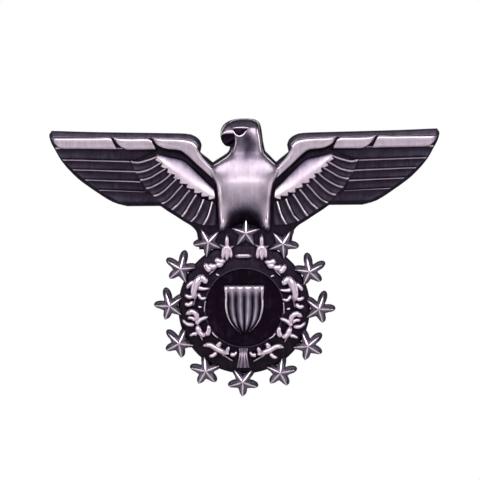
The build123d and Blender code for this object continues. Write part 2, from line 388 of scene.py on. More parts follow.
def plain_metal(name, colour, rough, grain=1.0, brush=0.3, depth=0.08):
    """A worked metal of one colour, mottled and streaked by handling."""
    if name in bpy.data.materials:
        return bpy.data.materials[name]
    metal, tree, shader, group = new_metal(name, grain, brush, depth)
    tint = add_node(tree, "ShaderNodeMix", data_type="RGBA")
    tint.inputs[6].default_value = (*(0.72 * c for c in colour), 1)
    tint.inputs[7].default_value = (*colour, 1)
    tree.links.new(ramp(tree, group.outputs["Mottle"], 0.3, 0.7, (0, 1)), tint.inputs["Factor"])
    tree.links.new(tint.outputs[2], shader.inputs["Base Color"])
    roughness = ramp(tree, group.outputs["Streak"], 0.3, 0.7, (rough - 0.06, rough + 0.08))
    tree.links.new(roughness, shader.inputs["Roughness"])
    return metal


# ---------------------------------------------------------------- back plate

# Left half of the plate's edge, from the tip of the wing to the plate's neck, mm
PLATE_TOP = (
    (-31.75, 5.84), (-26.0, 5.66), (-20.0, 5.52), (-14.0, 5.4), (-9.8, 5.28), (-8.3, 4.9), (-7.4, 4.2),
    (-7.08, 3.3),
)
PLATE_SHOULDER = ((-7.3, 2.2), (-5.25, 0.5))
PLATE_SWEEP = (
    (-32.3, 5.45), (-32.4, 5.0), (-32.1, 3.9), (-31.5, 2.8), (-30.2, 0.6), (-27.75, -2.05),
    (-24.7, -4.3), (-21.9, -6.05), (-19.5, -6.75),
)
PLATE_ROOT = (
    (-14.0, -6.75), (-12.9, -7.55), (-11.4, -8.5), (-10.2, -9.3), (-8.9, -10.1), (-8.1, -11.0),
    (-7.85, -12.2), (-7.6, -14.0),
)
HEAD_LEFT = (
    (-3.2, 1.8), (-2.7, 2.25), (-2.4, 3.02), (-3.0, 3.12), (-3.65, 3.75), (-3.95, 4.7), (-3.88, 5.9),
    (-3.3, 6.85), (-2.2, 7.45), (-0.8, 7.72),
)
HEAD_RIGHT = ((0.7, 7.72), (1.9, 7.5), (2.6, 6.9), (2.9, 5.7), (3.1, 4.0), (3.45, 2.35))


def filled_outline(name, points, thickness, roll, back=0.0):
    """A plate cut to a closed outline, its edges rolled over."""
    deselect()
    curve = bpy.data.curves.new(name, "CURVE")
    curve.dimensions = "2D"
    curve.fill_mode = "BOTH"
    curve.bevel_resolution = 2
    curve.bevel_depth = roll * MM
    curve.offset = -roll * MM
    curve.extrude = (thickness / 2 - roll) * MM
    line = curve.splines.new("POLY")
    line.points.add(len(points) - 1)
    for point, (x, z) in zip(line.points, points):
        point.co = (x * MM, z * MM, 0, 1)
    line.use_cyclic_u = True
    piece = bpy.data.objects.new(name, curve)
    bpy.context.collection.objects.link(piece)
    take(piece)
    bpy.ops.object.convert(target="MESH")
    piece = bpy.context.object
    piece.data.transform(Matrix.Rotation(math.radians(90), 4, "X"))
    piece.data.transform(Matrix.Translation((0, -(back + thickness / 2) * MM, 0)))
    bpy.ops.object.mode_set(mode="EDIT")
    bpy.ops.mesh.select_all(action="SELECT")
    bpy.ops.mesh.remove_doubles(threshold=0.00001)
    outward()
    return piece


PLAIN_BACK = 0.42  # polish of the plate's back
# the plate round the stars is kept lighter than the rest: painted shading of its rolled lobes
WINGS_POLISH, RING_POLISH, STARS_POLISH_AND_SHADE = 0.1, 0.08, 0.26


def polished(piece, front, level=-0.3 * PLATE_FRONT * MM, back=PLAIN_BACK):
    """Stores how brightly a piece is polished before a level and behind it; for the stars' plate this holds
    painted shading.
    """
    polish_and_shade = piece.data.attributes.new("polish_and_shade", "FLOAT", "POINT")
    for vertex in piece.data.vertices:
        polish_and_shade.data[vertex.index].value = front if vertex.co.y < level else back
    return piece


RING_RADIUS = 10.95  # the plate behind the wreath, mm
EDGE_POINTS = 60  # round one star of the plate
# The plate round a star, mm: how far it shows beyond the arms, its radius between two arms, how far
# it lies off the star, and how much further its upper arms reach and less far its lower ones
STAR_MARGIN, STAR_WAIST = 0.36, 1.15
STAR_SHIFT = (0.1, 0.18)
STAR_LIFT, STAR_DROP = 0.35, 0.28


def star_outline(x, z, turn, reach, waist):
    """The edge of a five-armed star with rounded arms, as points round its centre."""
    edge = []
    for k in range(EDGE_POINTS):
        angle = 2 * math.pi * k / EDGE_POINTS
        swing = 0.5 + 0.5 * math.cos(5 * angle)
        radius = waist + (reach - waist) * swing**0.75
        rise = math.sin(angle + turn)
        radius += (STAR_LIFT if rise > 0 else STAR_DROP) * swing * rise
        edge.append((x + radius * math.cos(angle + turn), z + radius * math.sin(angle + turn)))
    return edge


class BADGE_OT_back_plate(bpy.types.Operator):
    """Cuts the dark plate that rims the eagle, the wreath and the stars."""

    bl_idname = "badge.back_plate"
    bl_label = "Back plate"

    def execute(self, context):
        relief = relief_settings()
        upper = smooth(PLATE_TOP, 3) + list(PLATE_SHOULDER)
        under = smooth(PLATE_SWEEP, 3) + smooth(PLATE_ROOT, 3)
        head = smooth(HEAD_LEFT, 3) + smooth(HEAD_RIGHT, 3)
        right = [(-x, z) for x, z in (*reversed(upper), *under)]
        outline = upper + head + right + [*reversed(under)]
        plate = filled_outline("plate_wings", outline, PLATE_FRONT, relief.plate_round)
        circle = [at_wreath(RING_RADIUS, 3 * k) for k in range(120)]
        ring = filled_outline("plate_ring", circle, PLATE_FRONT - 0.02, relief.plate_round, 0.01)
        parts = [polished(plate, WINGS_POLISH), polished(ring, RING_POLISH)]
        for number in range(1, 13):
            centre = at_wreath((TOP_STAR - FIELD).length, 90 - 30 * (number - 1))
            turn = math.radians(90 - 30 * (number - 1)) - LEAN
            x, z = centre[0] + STAR_SHIFT[0], centre[1] + STAR_SHIFT[1]
            edge = star_outline(x, z, turn, relief.star_reach + STAR_MARGIN, STAR_WAIST)
            inset = 0.014 + 0.003 * number  # no two overlapping faces lie in one plane
            thickness = PLATE_FRONT - 2 * inset
            star = filled_outline(f"plate_star_{number}", edge, thickness, relief.plate_round, inset)
            parts.append(polished(star, STARS_POLISH_AND_SHADE))
        finished(joined(parts, "plate"), antique_silver(), "back_plate", slot="gunmetal")
        return {"FINISHED"}


# ---------------------------------------------------------------- wings

# Polished ridge of each long feather, outer end to root, left wing, mm
LONG_RIDGES = (
    ((-31.35, 2.95), (-14.0, 2.8)),
    ((-30.15, 1.0), (-19.0, 0.65)),
    ((-28.45, -0.65), (-18.1, -1.03)),
    ((-26.45, -2.35), (-17.3, -2.72)),
    ((-24.2, -4.05), (-16.6, -4.4)),
    ((-20.3, -6.3), (-12.6, -6.35)),
)
# Ridge of each short feather, end to root
SHORT_RIDGES = (
    ((-18.8, 0.65), (-17.6, 0.45), (-16.5, 0.7), (-15.5, 1.0), (-14.4, 1.45)),
    ((-18.05, -1.1), (-17.0, -1.05), (-15.9, -0.75), (-14.9, -0.2), (-13.6, 0.55)),
    ((-17.25, -2.4), (-16.4, -2.3), (-15.4, -1.95), (-14.4, -1.35), (-13.1, -0.6)),
    ((-16.35, -3.8), (-15.3, -3.55), (-14.2, -3.0), (-13.1, -2.25), (-12.1, -1.35)),
    ((-15.1, -5.05), (-14.2, -4.8), (-13.2, -4.1), (-12.2, -3.15), (-11.2, -2.2)),
    ((-13.75, -6.35), (-13.0, -6.05), (-12.1, -5.3), (-11.3, -4.4), (-10.3, -3.3)),
    ((-12.1, -7.35), (-11.2, -6.65), (-10.45, -5.8), (-9.8, -4.95), (-9.1, -4.15)),
    ((-10.45, -8.5), (-9.75, -7.7), (-9.2, -6.75), (-8.6, -5.8), (-8.0, -4.9)),
    ((-8.95, -9.35), (-8.25, -8.7), (-7.75, -7.85), (-7.25, -6.85), (-6.8, -5.7)),
    ((-6.9, -9.9), (-6.25, -8.9), (-5.85, -7.9), (-5.6, -7.0), (-5.35, -6.1)),
    ((-4.7, -10.0), (-4.6, -9.2), (-4.6, -8.2), (-4.6, -7.2), (-4.6, -6.2)),
)
COVERT_TOP = (
    (-14.75, 2.05), (-13.5, 1.7), (-12.2, 1.4), (-10.8, 1.15), (-9.9, 0.8), (-9.05, 0.1), (-8.0, -0.95),
    (-7.2, -1.75), (-6.1, -2.9), (-5.2, -3.8),
)
COVERT_FOOT = (
    (-14.35, 1.45), (-13.55, 0.4), (-12.6, -0.55), (-11.45, -1.5), (-10.6, -2.3), (-9.4, -3.05), (-8.3, -3.9),
    (-7.1, -4.5), (-5.9, -5.05), (-4.95, -5.4),
)
# Knobs between the lobes of the patch, kept dark: painted shade in the notches, partly patina
KNOBS = (
    (-14.05, 1.1), (-13.35, -0.05), (-12.55, -0.95), (-11.6, -1.8), (-10.7, -2.55), (-9.6, -3.4),
    (-8.4, -4.15), (-7.15, -4.8), (-5.95, -5.3),
)


def feather(name, ridge, next_ridge, low, crest, sink=0.0):
    """One feather: a polished crest along its upper edge, falling away dark to the next one, its dark body
    given painted sheen towards its outer end and just above the next ridge.
    """
    half = relief_settings().ridge_width / 2
    rows = []
    count = len(ridge)
    for k, (p, q) in enumerate(zip(ridge, next_ridge)):
        gap = math.dist(p, q)
        share = k / (count - 1)
        tip = 0.35 if k == 0 else 1.0
        lift = low + sink * share
        top = lift + (crest - low) * tip
        # painted sheen on the body, fading from the outer end to the root; the dark beneath it is patina
        patina_and_sheen = 0.30 - 0.14 * share
        section = (
            (-1.3 * half, lift - 0.12, 0.05),
            (-0.6 * half, top - 0.04, 0.9),
            (0.5 * half, top, 1.0),
            (1.3 * half, lift + (top - lift) * 0.5, 0.45),
            (2.4 * half, lift + 0.1, 0.14),
            (0.5 * gap, lift + 0.08, patina_and_sheen),
            (0.8 * gap, lift - 0.02, patina_and_sheen + 0.04),
            (gap - 0.4 * half, lift - 0.14, 0.04),
        )
        rows.append([(*between(p, q, d / gap), h, s) for d, h, s in section])
    return lay_relief(name, rows, across=2)


def long_ridge(k):
    """A long feather's ridge, rounded down at its outer end."""
    (x0, z0), (x1, z1) = LONG_RIDGES[k]
    stations = (0.0, 0.02, 0.05, 0.2, 0.5, 0.8, 1.0)
    return [(x0 + (x1 - x0) * s, z0 + (z1 - z0) * s) for s in stations]


def scalloped(points, count, depth):
    """A line broken into pointed lobes between its points."""
    line = []
    for p, q in zip(points, points[1:]):
        across = Vector((q[1] - p[1], p[0] - q[0])).normalized()
        for k in range(count):
            share = k / count
            drop = depth * (1 - share) ** 0.6 * min(1.0, 6 * share)
            x, z = between(p, q, share)
            line.append((x + across.x * drop, z + across.y * drop))
    return line + [points[-1]]


# Sloping rim left round the relief, pairs of outer and inner points, mm
WING_RIM = (
    ((-32.35, 5.25), (-31.9, 4.5)), ((-32.0, 5.76), (-31.5, 4.72)), ((-31.5, 5.84), (-31.2, 4.75)),
    ((-26.0, 5.64), (-26.0, 4.66)), ((-20.0, 5.5), (-20.0, 4.6)), ((-14.0, 5.38), (-14.0, 4.52)),
    ((-9.9, 5.26), (-10.0, 4.42)), ((-8.45, 4.95), (-8.9, 4.2)), ((-7.45, 4.22), (-8.05, 3.85)),
    ((-7.1, 3.3), (-7.7, 3.2)), ((-7.3, 2.2), (-7.95, 2.1)), ((-6.27, 1.36), (-6.85, 0.75)),
    ((-5.25, 0.5), (-5.25, -0.45)),
)
LEFT_NECK_RIM = (
    ((-5.25, 0.5), (-5.25, -0.45)), ((-4.2, 1.18), (-4.0, 0.45)), ((-3.2, 1.8), (-2.8, 1.2)),
    ((-2.6, 2.35), (-2.0, 2.2)), ((-2.4, 2.98), (-1.8, 3.0)),
)
HEAD_RIM = (
    ((1.9, 7.5), (1.75, 7.1)), ((2.58, 6.9), (2.15, 6.6)), ((2.86, 5.7), (2.35, 5.5)),
    ((3.08, 4.0), (2.5, 4.0)), ((3.42, 2.36), (2.75, 2.1)), ((4.25, 1.45), (3.7, 0.9)),
    ((5.25, 0.5), (5.25, -0.45)),
)


def rim(name, edges):
    """A dark sloping band just inside the plate's edge, in the bluish half tone: painted sheen of the lit
    slope, partly the oxide's tint.
    """
    rows = [
        [
            (*outer, -0.12, 0.28),
            (*between(outer, inner, 0.12), 0.12, 0.36),
            (*between(outer, inner, 0.4), 0.42, 0.4),
            (*between(outer, inner, 0.8), 0.72, 0.42),
            (*inner, 0.78, 0.3),
        ]
        for outer, inner in edges
    ]
    return lay_relief(name, rows, base=-0.3)


class BADGE_OT_rim(bpy.types.Operator):
    """Slopes the plate's upper edges up to the relief."""

    bl_idname = "badge.rim"
    bl_label = "Rim"

    def execute(self, context):
        wing = rim("wing_rim", WING_RIM)
        twin = copied(wing, "right_wing_rim", MIRROR)
        bands = [wing, twin, rim("neck_rim", LEFT_NECK_RIM), rim("head_rim", HEAD_RIM)]
        finished(joined(bands, "rim"), antique_silver(), slot="gunmetal")
        return {"FINISHED"}


class BADGE_OT_feathers(bpy.types.Operator):
    """Lays the long and short feathers of both wings."""

    bl_idname = "badge.feathers"
    bl_label = "Feathers"

    def execute(self, context):
        long_ones = [
            feather(f"long_feather_{k}", long_ridge(k), long_ridge(k + 1), 0.5 - 0.02 * k, 1.0)
            for k in range(len(LONG_RIDGES) - 1)
        ]
        finish_both(joined(long_ones, "left_long_feathers"), "long_feathers")
        short_ones = [
            feather(f"short_feather_{k}", SHORT_RIDGES[k], SHORT_RIDGES[k + 1], 0.95, 1.45, sink=0.15)
            for k in range(len(SHORT_RIDGES) - 1)
        ]
        finish_both(joined(short_ones, "left_short_feathers"), "short_feathers")
        return {"FINISHED"}


class BADGE_OT_coverts(bpy.types.Operator):
    """Lays the scalloped patch of small feathers under each arm."""

    bl_idname = "badge.coverts"
    bl_label = "Coverts"

    def execute(self, context):
        lobes = 6
        foot = scalloped(COVERT_FOOT, lobes, 0.85)
        plain = smooth(COVERT_FOOT, lobes)
        top = smooth(COVERT_TOP, lobes)
        rows = []
        for k, (p, line, q) in enumerate(zip(top, plain, foot)):
            inward = k / (len(top) - 1)
            # painted shade darkens the top beside the arm, partly patina in the groove, and a painted
            # highlight brightens the patch towards its inner end
            rows.append(
                [
                    (*p, 1.3, 0.08),
                    (*between(p, line, 0.08), 1.62, 0.22),
                    (*between(p, line, 0.3), 1.76, 0.48 + 0.1 * inward),
                    (*between(p, line, 0.58), 1.85, 0.7 + 0.2 * inward),
                    (*between(p, line, 0.85), 1.91, 0.86 + 0.14 * inward),
                    (*between(line, q, 0.5), 1.9, 0.95),
                    (*between(line, q, 0.9), 1.8, 0.9),
                    (*q, 1.3, 0.2),
                ]
            )
        knobs = []
        for k, (x, z) in enumerate(KNOBS):
            path = ((x - 0.16, z + 0.3), (x + 0.02, z), (x + 0.12, z - 0.35))
            # knobs kept dark: painted shade in the notches, partly patina
            knobs.append(limb(f"knob_{k}", path, (0.34, 0.28), 1.8, 0.16, 1.25))
        patch = lay_relief("coverts", rows, base=0.4, across=4, along=1)
        finish_both(joined([patch, *knobs], "left_coverts"), "coverts")
        return {"FINISHED"}


# Edges of the raised arm, pairs of upper and lower points, left wing, mm
OUTER_ARM = (
    ((-31.95, 4.55), (-31.75, 4.0)), ((-31.5, 4.68), (-31.2, 3.35)), ((-30.6, 4.7), (-30.2, 2.68)),
    ((-28.0, 4.7), (-28.0, 2.6)), ((-24.5, 4.68), (-24.0, 2.55)), ((-22.4, 4.72), (-21.9, 2.5)),
    ((-22.0, 4.3), (-21.1, 2.5)),
)
MIDDLE_ARM = (
    ((-22.1, 4.75), (-21.7, 4.15)), ((-21.5, 4.68), (-20.7, 3.15)), ((-20.6, 4.58), (-19.5, 2.45)),
    ((-18.5, 4.52), (-18.0, 2.38)), ((-16.2, 4.52), (-15.6, 2.38)), ((-15.45, 4.2), (-14.6, 2.42)),
)
INNER_ARM = (
    ((-15.5, 4.62), (-15.2, 4.0)), ((-14.9, 4.55), (-14.3, 3.1)), ((-13.8, 4.48), (-12.9, 2.45)),
    ((-11.6, 4.42), (-11.5, 2.3)), ((-9.8, 4.3), (-10.6, 2.1)), ((-8.5, 4.0), (-9.95, 1.6)),
    ((-7.75, 3.35), (-9.25, 1.0)), ((-7.75, 2.5), (-8.55, 0.38)), ((-7.1, 1.35), (-7.65, -0.42)),
    ((-6.1, 0.25), (-6.5, -1.42)), ((-5.2, -0.5), (-5.4, -2.42)), ((-4.0, -0.7), (-4.4, -3.1)),
    ((-2.6, -0.9), (-3.2, -3.4)),
)


def arm(name, edges, crest, last=1.0):
    """One stretch of the raised arm: a lip kept dark with painted shade, a polished crest and a satin face
    below it, near black at its foot.
    """
    rows = []
    for k, (top, foot) in enumerate(edges):
        rise = 0.55 if k == 0 else 1.0
        swell = crest * rise
        # the near black foot is a painted shadow under the arm, partly patina
        rows.append(
            [
                (top[0], top[1] + 0.1, 0.6, 0.3),
                (*between(top, foot, 0.02), 0.8 * swell, 0.7),
                (*between(top, foot, 0.14), swell, 1.0),
                (*between(top, foot, 0.4), swell - 0.03, 0.84),
                (*between(top, foot, 0.82), swell - 0.12, 0.84),
                (*between(top, foot, 0.97), 0.6 * swell, 0.4),
                (foot[0], foot[1] - 0.04, 0.4, 0.0),
            ]
        )
    return lay_relief(name, rows, across=4)


class BADGE_OT_arms(bpy.types.Operator):
    """Raises the leading edge of both wings in three overlapping stretches."""

    bl_idname = "badge.arms"
    bl_label = "Arms"

    def execute(self, context):
        stretches = (arm("arm_outer", OUTER_ARM, 1.75), arm("arm_middle", MIDDLE_ARM, 1.85))
        left = joined([*stretches, arm("arm_inner", INNER_ARM, 2.1)], "left_arm")
        finish_both(left, "arm")
        return {"FINISHED"}


# ---------------------------------------------------------------- head, breast and legs

# Neck, breast and legs by level: height of the level at its sides and its middle, left and right
# edge, relief at the edge and in the middle, and the polishing from the left edge to the right, with
# painted light in it: the crown in the bluish half tone of painted sheen, painted shade down the
# middle of the neck, a painted top-lit gradient darkening the breast downwards, and near black
# between the legs, painted shade that is partly patina in the arch
TRUNK = (
    (7.66, 7.68, -0.9, 0.8, 0.1, 0.2, (0.4,) * 11),
    (7.3, 7.4, -2.1, 1.9, 0.2, 0.95, (0.42,) * 11),
    (6.8, 6.85, -2.8, 2.45, 0.4, 1.6, (0.42,) * 11),
    (6.3, 6.35, -2.8, 2.5, 0.8, 2.0, (0.4, 0.45, 0.42, 0.4, 0.4, 0.4, 0.4, 0.42, 0.48, 0.45, 0.3)),
    (5.95, 6.0, -2.6, 2.5, 1.2, 2.2, (0.3, 0.5, 0.45, 0.42, 0.42, 0.42, 0.45, 0.6, 0.72, 0.6, 0.3)),
    (5.2, 5.2, -2.1, 2.6, 1.2, 2.25, (0.1, 0.4, 0.42, 0.4, 0.38, 0.42, 0.6, 0.95, 1.0, 0.7, 0.3)),
    (4.4, 4.4, -1.75, 2.75, 1.2, 2.2, (0.1, 0.8, 0.5, 0.42, 0.3, 0.26, 0.36, 0.7, 1.0, 0.9, 0.3)),
    (3.5, 3.5, -1.75, 2.85, 1.2, 2.15, (0.1, 1.0, 0.5, 0.46, 0.36, 0.22, 0.26, 0.42, 0.82, 1.0, 0.3)),
    (2.7, 2.7, -2.0, 2.95, 1.2, 2.15, (0.1, 1.0, 0.5, 0.48, 0.4, 0.22, 0.26, 0.42, 0.66, 1.0, 0.3)),
    (1.9, 1.9, -2.4, 3.2, 1.2, 2.2, (0.2, 1.0, 0.55, 0.56, 0.46, 0.24, 0.34, 0.48, 0.62, 1.0, 0.4)),
    (1.2, 1.3, -3.1, 3.8, 1.3, 2.35, (0.4, 0.9, 0.58, 0.58, 0.52, 0.34, 0.44, 0.52, 0.6, 0.9, 0.5)),
    (0.4, 0.6, -4.3, 4.6, 1.6, 2.55, (0.6, 0.82, 0.66, 0.64, 0.62, 0.5, 0.6, 0.64, 0.66, 0.85, 0.7)),
    (-0.4, -0.2, -5.5, 5.5, 1.5, 2.7, (0.7, 0.7, 0.7, 0.69, 0.67, 0.64, 0.67, 0.69, 0.7, 0.7, 0.7)),
    (-1.3, -1.2, -6.0, 6.0, 1.3, 2.84, (0.7,) * 11),
    (-2.5, -2.3, -5.3, 5.3, 1.3, 2.93, (0.85,) * 11),
    (-3.2, -3.1, -4.95, 4.95, 1.3, 2.98, (0.5,) + (0.92,) * 9 + (0.5,)),
    (-4.1, -4.2, -4.8, 4.75, 1.0, 2.98, (0.1, 1.0, 0.84, 0.84, 0.84, 0.84, 0.84, 0.84, 0.8, 1.0, 0.1)),
    (-5.2, -5.3, -4.72, 4.6, 0.8, 2.93, (0.1, 1.0, 0.72, 0.76, 0.73, 0.72, 0.73, 0.73, 0.66, 0.95, 0.1)),
    (-6.3, -6.4, -4.66, 4.5, 0.7, 2.82, (0.1, 0.95, 0.8, 0.68, 0.58, 0.56, 0.56, 0.6, 0.75, 0.95, 0.1)),
    (-7.3, -7.2, -4.6, 4.45, 0.6, 2.62, (0.1, 0.95, 0.9, 0.62, 0.42, 0.36, 0.4, 0.55, 0.85, 1.0, 0.1)),
    (-8.2, -7.9, -4.56, 4.42, 0.6, 2.2, (0.1, 0.95, 0.9, 0.35, 0.14, 0.08, 0.12, 0.35, 0.85, 1.0, 0.1)),
    (-9.2, -8.6, -4.5, 4.38, 0.6, 1.5, (0.1, 0.95, 0.85, 0.15, 0.04, 0.03, 0.04, 0.15, 0.8, 1.0, 0.1)),
    (-10.5, -9.3, -4.42, 4.32, 0.6, 0.7, (0.1, 0.9, 0.8, 0.08, 0.03, 0.03, 0.03, 0.08, 0.8, 1.0, 0.1)),
    (-11.4, -9.7, -4.15, 4.05, 0.3, 0.25, (0.1, 0.6, 0.5, 0.03, 0.0, 0.0, 0.0, 0.03, 0.5, 0.6, 0.1)),
)
TRUNK_STATIONS = (-1.0, -0.93, -0.78, -0.5, -0.22, 0.0, 0.22, 0.5, 0.78, 0.93, 1.0)
# Levels where the legs part and end, the station where each begins, and their heights, mm
LEG_TOP, ANKLE, LEG_INSIDE = -8, -11, 0.6
LEG_HEIGHT, ANKLE_HEIGHT = 2.4, 0.6
FEET_X = (-3.0, 2.75)


class BADGE_OT_body(bpy.types.Operator):
    """Raises the neck, the breast, the feathered legs, the feet and the perch."""

    bl_idname = "badge.body"
    bl_label = "Body"

    def execute(self, context):
        rows = []
        for z_side, z_middle, left, right, edge, height, polish_and_shade in TRUNK:
            row = []
            for s, shine_and_shade in zip(TRUNK_STATIONS, polish_and_shade):
                x = (left + right) / 2 + s * (right - left) / 2
                reach = abs(s) ** 1.5
                z = z_middle + (z_side - z_middle) * reach
                crown = math.sqrt(max(0.0, 1 - abs(s) ** 5))
                if z_side < LEG_TOP and abs(s) > LEG_INSIDE:  # the legs stay raised beside the arch
                    height_here = LEG_HEIGHT if z_side > ANKLE else ANKLE_HEIGHT
                else:
                    height_here = height
                row.append((x, z, edge + (height_here - edge) * crown, shine_and_shade))
            rows.append(row)
        trunk = lay_relief("neck_breast_and_legs", rows)
        feet = []
        for side, foot_x in zip((-1, 1), FEET_X):
            feet.append(limb(f"shank_{side}", ((foot_x, -11.5), (foot_x, -14.0)), (0.46, 0.5), 1.25))
            for toe, drop in ((-0.75, -15.7), (0.0, -15.95), (0.7, -15.6)):
                path = ((foot_x, -13.3), (foot_x + 0.7 * toe, -14.2), (foot_x + toe, drop))
                feet.append(limb(f"toe_{side}_{toe}", path, (0.62, 0.46), 1.5, 1.0))
            for reach in (-1.3, 1.35):
                path = ((foot_x, -13.9), (foot_x + reach, -13.25 - 0.1 * reach))
                feet.append(limb(f"spur_{side}_{reach}", path, (0.42, 0.16), 1.35))
        bar = limb("perch", ((-1.6, -15.1), (-0.3, -15.1), (1.05, -15.1)), (0.42, 0.42), 0.95, 0.8, 0.5)
        finished(trunk, antique_silver(), "eagle")
        finished(joined(feet, "feet"), antique_silver())
        finished(bar, antique_silver())
        return {"FINISHED"}


# Section of a limb: share of its half width, of its height and of its polish
LIMB_SECTION = ((-1, 0.15, 0.1), (-0.76, 0.76, 0.8), (0, 1, 1), (0.76, 0.76, 0.8), (1, 0.15, 0.1))


def limb(name, path, widths, height, shine_and_shade=0.95, seat=0.0, steps=5):
    """A rounded bar that swells along a path and narrows at both ends, polished along its back.

    Its sides stand straight up to the seat and are rounded from there to its height."""
    path = smooth(list(path), steps)
    count = len(path) - 1
    rows = []
    for k, (x, z) in enumerate(path):
        share = k / count
        ahead = path[min(k + 1, count)]
        behind = path[max(k - 1, 0)]
        along = Vector((ahead[0] - behind[0], ahead[1] - behind[1])).normalized()
        end = min(1.0, 4 * share + 0.12, 4 * (1 - share) + 0.12) ** 0.5
        half = (widths[0] + (widths[1] - widths[0]) * share) * end
        lift = seat + (height - seat) * (0.35 + 0.65 * end)
        rows.append(
            [
                (x - along.y * half * s, z + along.x * half * s, seat + (lift - seat) * h, shine_and_shade * p)
                for s, h, p in LIMB_SECTION
            ]
        )
    return lay_relief(name, rows, across=3, along=1)


class BADGE_OT_head(bpy.types.Operator):
    """Raises the hooked beak, the brow, the lid and the eye."""

    bl_idname = "badge.head"
    bl_label = "Head"

    def execute(self, context):
        upper = (
            ((-1.3, 6.9), (-1.3, 4.9)), ((-2.2, 7.15), (-2.2, 4.92)), ((-2.9, 6.9), (-2.9, 4.95)),
            ((-3.42, 6.4), (-3.35, 4.93)), ((-3.75, 5.8), (-3.65, 4.8)), ((-3.92, 5.1), (-3.8, 4.5)),
        )
        lower = (
            ((-1.6, 5.05), (-1.7, 3.9)), ((-2.3, 5.0), (-2.1, 3.6)), ((-3.0, 4.95), (-2.3, 3.4)),
            ((-3.7, 4.8), (-2.6, 3.2)), ((-3.85, 4.3), (-3.0, 3.2)),
        )
        beak = [
            lay_relief(
                "beak_upper",
                [
                    [(*a, 0.7, 0.4), (*between(a, b, 0.25), 1.5, 0.44), (*between(a, b, 0.55), 2.05, 0.6),
                     (*between(a, b, 0.88), 2.2, 0.9), (*b, 1.3, 0.1)]
                    for a, b in upper
                ],
            ),
            # the lower beak is kept near black: painted shade under the hook
            lay_relief(
                "beak_lower",
                [
                    [(*a, 1.4, 0.0), (*between(a, b, 0.3), 1.4, 0.03), (*between(a, b, 0.75), 1.2, 0.12),
                     (*b, 0.5, 0.05)]
                    for a, b in lower
                ],
            ),
        ]
        brow_path = ((-2.0, 6.02), (-1.0, 6.12), (0.0, 6.12), (0.95, 6.0))
        brow = limb("brow", brow_path, (0.17, 0.19), 2.45, 1.0, 2.1)
        lid_path = ((-1.85, 5.6), (-1.45, 4.95), (-0.85, 4.66), (-0.2, 4.9), (0.35, 5.6))
        lid = limb("lid", lid_path, (0.2, 0.2), 2.5, 1.0, 2.2)
        # the eye is a thin near black sheet between brow and lid: painted shade under the brow, partly patina
        # in the hollow
        eye = lay_relief(
            "eye",
            [
                [(-1.85, 5.88, 2.3, 0.0), (-1.82, 5.8, 2.34, 0.0), (-1.8, 5.72, 2.3, 0.0)],
                [(-1.35, 5.9, 2.36, 0.0), (-1.32, 5.45, 2.4, 0.04), (-1.3, 5.05, 2.36, 0.0)],
                [(-0.8, 5.92, 2.36, 0.0), (-0.8, 5.4, 2.42, 0.06), (-0.8, 4.86, 2.36, 0.0)],
                [(-0.15, 5.9, 2.36, 0.0), (-0.15, 5.6, 2.4, 0.0), (-0.2, 5.2, 2.36, 0.0)],
                [(0.5, 5.88, 2.3, 0.0), (0.52, 5.84, 2.32, 0.0), (0.54, 5.8, 2.3, 0.0)],
            ],
        )
        whole = joined([*beak, brow, lid, eye], "beak_and_brow")
        finished(whole, antique_silver())
        return {"FINISHED"}


# ---------------------------------------------------------------- stars


class BADGE_OT_stars(bpy.types.Operator):
    """Sets twelve ridged stars with rounded arms round the wreath."""

    bl_idname = "badge.stars"
    bl_label = "Stars"

    def execute(self, context):
        reach = relief_settings().star_reach
        petal = []
        for share, half, crest, valley in (
            (0.0, 0.03, 1.28, 1.24), (0.12, 0.24, 1.24, 1.08), (0.36, 0.72, 1.12, 0.72),
            (0.6, 0.55, 1.0, 0.62), (0.82, 0.34, 0.88, 0.56), (1.0, 0.09, 0.66, 0.5),
        ):
            z = share * reach
            ridge = min(0.2 - 0.12 * share, 0.5 * half)
            flank = (
                (half, 0.1, 0.03), (0.97 * half, valley, 0.28),
                (0.5 * (half + ridge), (crest + valley) / 2, 0.44),
                (1.25 * ridge, crest - 0.1, 0.5), (0.7 * ridge, crest, 1.0),
            )
            petal.append([(-x, z, h, p) for x, h, p in flank] + [(x, z, h, p) for x, h, p in reversed(flank)])
        arm_one = lay_relief("star_arm", petal, across=2, along=3)
        arms = [arm_one]
        for k in range(1, 5):
            arms.append(copied(arm_one, f"star_arm_{k}", Matrix.Rotation(math.radians(72 * k), 4, "Y")))
        star = joined(arms, "star")
        for number in range(1, 13):
            x, z = at_wreath((TOP_STAR - FIELD).length, 90 - 30 * (number - 1))
            turn = Matrix.Rotation(math.radians(30 * (number - 1)) + LEAN, 4, "Y")
            place = Matrix.Translation((x * MM, 0, z * MM)) @ turn
            node = f"star_{number:02d}"
            finished(copied(star, f"silver_{node}", place), antique_silver(), node)
        bpy.data.objects.remove(star)
        return {"FINISHED"}


# ---------------------------------------------------------------- wreath


LEAF_SWELL = 1.25  # strokes overlap their neighbours by this much
